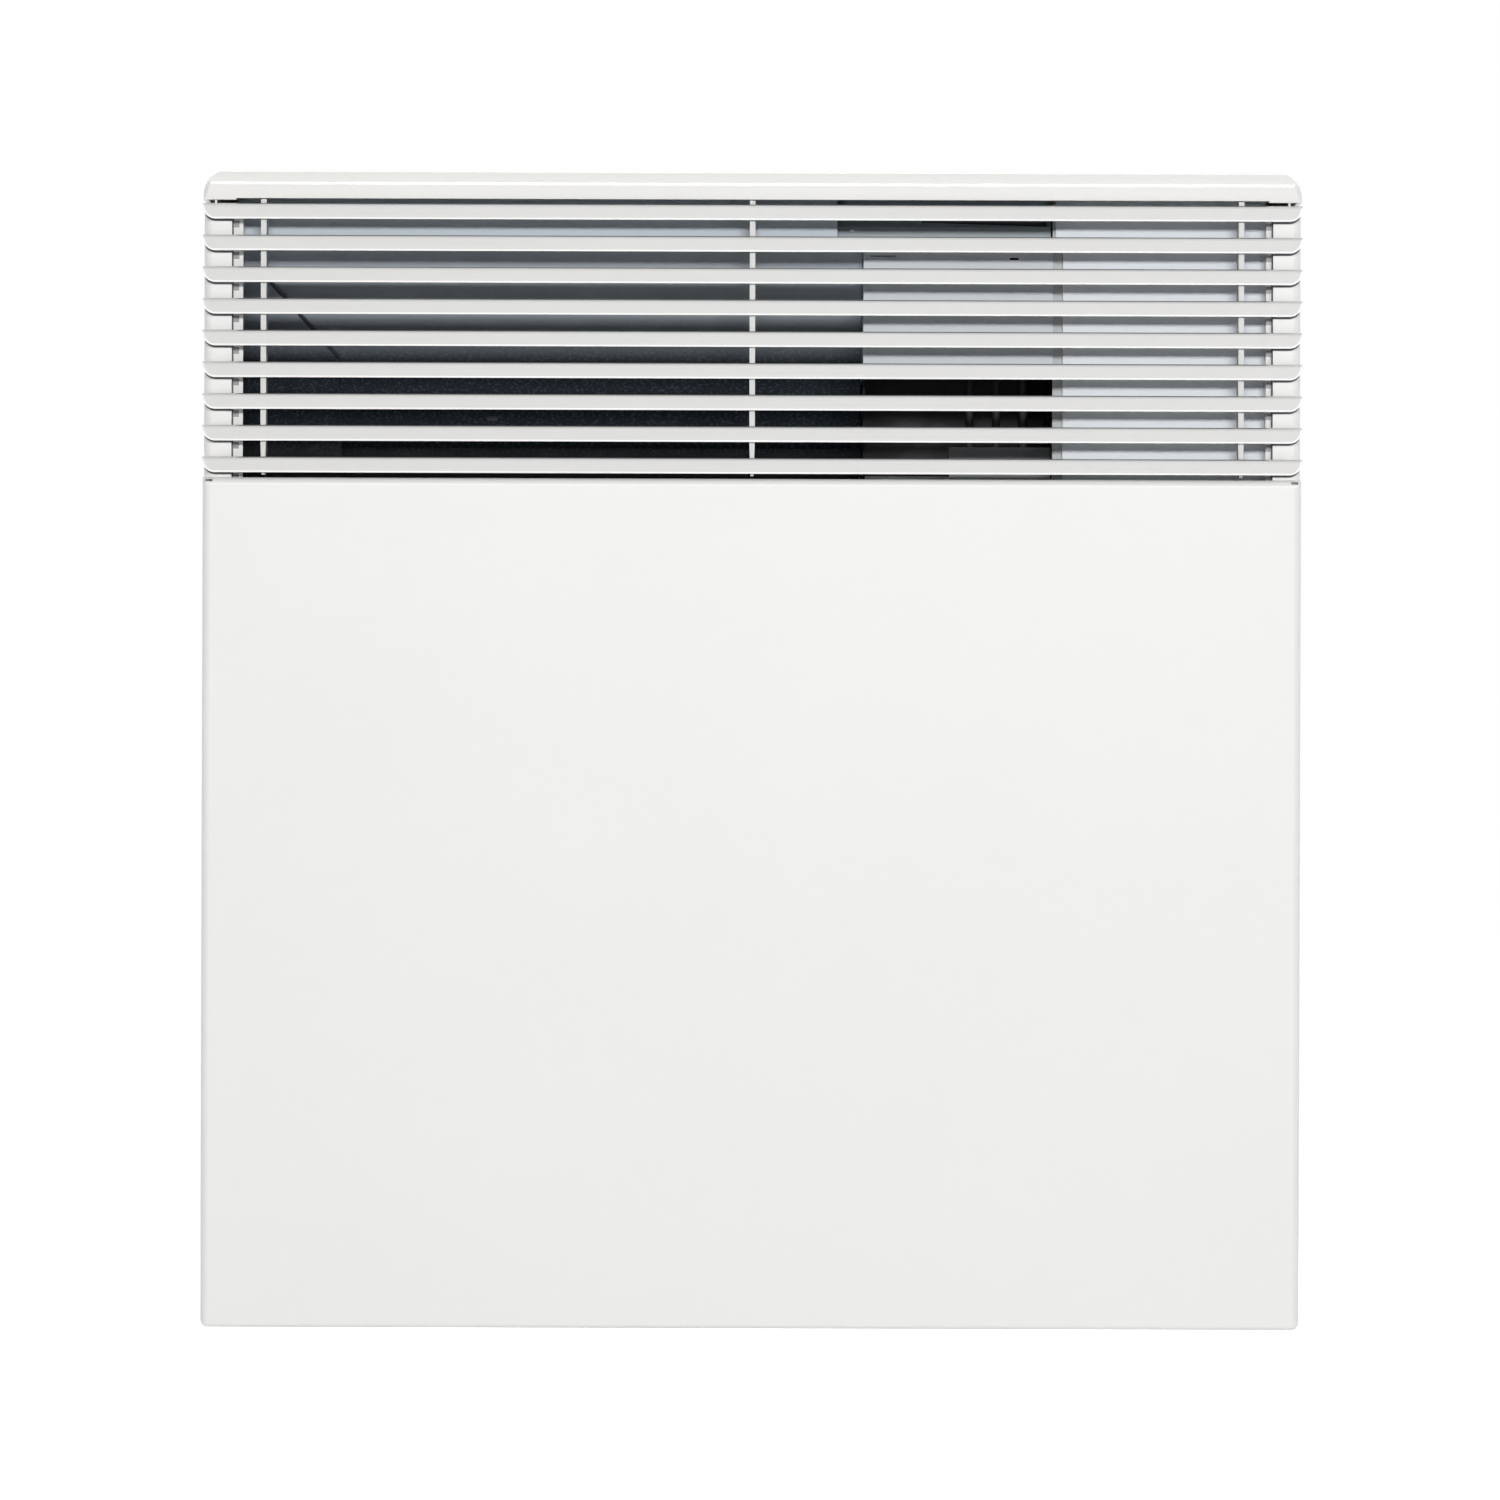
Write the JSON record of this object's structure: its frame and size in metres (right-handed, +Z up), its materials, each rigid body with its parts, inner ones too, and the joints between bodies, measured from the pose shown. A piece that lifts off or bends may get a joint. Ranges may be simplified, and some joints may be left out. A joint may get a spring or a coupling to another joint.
{
  "type": "panel heater",
  "caption": "Slim wall-mounted electric panel heater with a louvred air outlet, a rounded top hood with sunk controls and a steel wall bracket.",
  "frame": {"origin": "centre of the four wall screws, on the wall's surface", "axes": "+X to the right seen from the front, +Y into the wall, +Z up"},
  "size_m": [0.418, 0.098, 0.44],
  "materials": {
    "casing_paint": "satin powder coat, very light warm grey-white",
    "louvre_paint": "satin powder coat, light grey",
    "hood_plastic": "glossy moulded plastic",
    "inner_sheet": "zinc-coated sheet",
    "back_sheet": "zinc-coated sheet",
    "bracket_steel": "zinc-coated sheet",
    "element_aluminium": "extruded",
    "rod_steel": "heat-tinted steel",
    "ceramic": "unglazed",
    "control_plastic": "moulded, slate blue",
    "knob_plastic": "fine-textured moulding",
    "dark_plastic": "moulded",
    "pale_plastic": "moulded",
    "board": "solder mask",
    "lens": "clear amber",
    "lead_sleeve": "glass-braided silicone",
    "screw_steel": "zinc-plated"
  },
  "bodies": {
    "heater": {"casing": "casing_paint", "top_hood": "hood_plastic", "outlet_grille": "louvre_paint", "end_post_left": "inner_sheet", "end_post_right": "inner_sheet", "back_panel": "back_sheet", "base_grille": "casing_paint", "air_deflector": "inner_sheet", "duct_corner_plate": "inner_sheet", "control_shield": "inner_sheet", "partition": "inner_sheet", "terminal_cover": "inner_sheet", "heating_element": "element_aluminium", "heater_rod": "rod_steel", "rod_insulators": "ceramic", "element_bracket_left": "inner_sheet", "element_bracket_right": "inner_sheet", "cutout_bracket": "inner_sheet", "thermal_cutout": "dark_plastic", "terminal_bracket": "inner_sheet", "terminal_block": "pale_plastic", "cord_gland": "pale_plastic", "control_fascia": "control_plastic", "control_housing": "control_plastic", "control_board": "board", "switch_frame": "dark_plastic", "indicator_lens": "lens", "room_sensor": "dark_plastic", "sensor_clip": "pale_plastic", "element_leads": "lead_sleeve", "cutout_leads": "lead_sleeve", "control_leads": "dark_plastic", "sensor_lead": "dark_plastic", "bracket_rail_left": "bracket_steel", "bracket_rail_right": "bracket_steel", "bracket_crossbar_upper": "bracket_steel", "bracket_crossbar_lower": "bracket_steel", "casing_screws": "screw_steel"},
    "thermostat": {"thermostat_dial": "knob_plastic"},
    "selector": {"mode_selector": "knob_plastic"},
    "rocker": {"rocker_switch": "dark_plastic"},
    "left_latch": {"latch_left": "pale_plastic"},
    "right_latch": {"latch_right": "pale_plastic"}
  },
  "joints": [
    {"name": "thermostat_turn", "type": "hinge", "parent": "heater", "child": "thermostat", "pos_m": [0.053, -0.057, 0.223], "axis": [0, 0, 1], "range_deg": [-135, 135]},
    {"name": "selector_turn", "type": "hinge", "parent": "heater", "child": "selector", "pos_m": [0.082, -0.057, 0.223], "axis": [0, 0, 1], "range_deg": [-60, 60]},
    {"name": "rocker_tilt", "type": "hinge", "parent": "heater", "child": "rocker", "pos_m": [0.1035, -0.057, 0.222], "axis": [-1, 0, 0], "range_deg": [0, 16]},
    {"name": "left_latch_turn", "type": "hinge", "parent": "heater", "child": "left_latch", "pos_m": [-0.132, -0.018, 0.19], "axis": [0, -1, 0], "range_deg": [0, 90]},
    {"name": "right_latch_turn", "type": "hinge", "parent": "heater", "child": "right_latch", "pos_m": [0.132, -0.018, 0.19], "axis": [0, 1, 0], "range_deg": [0, 90]}
  ]
}
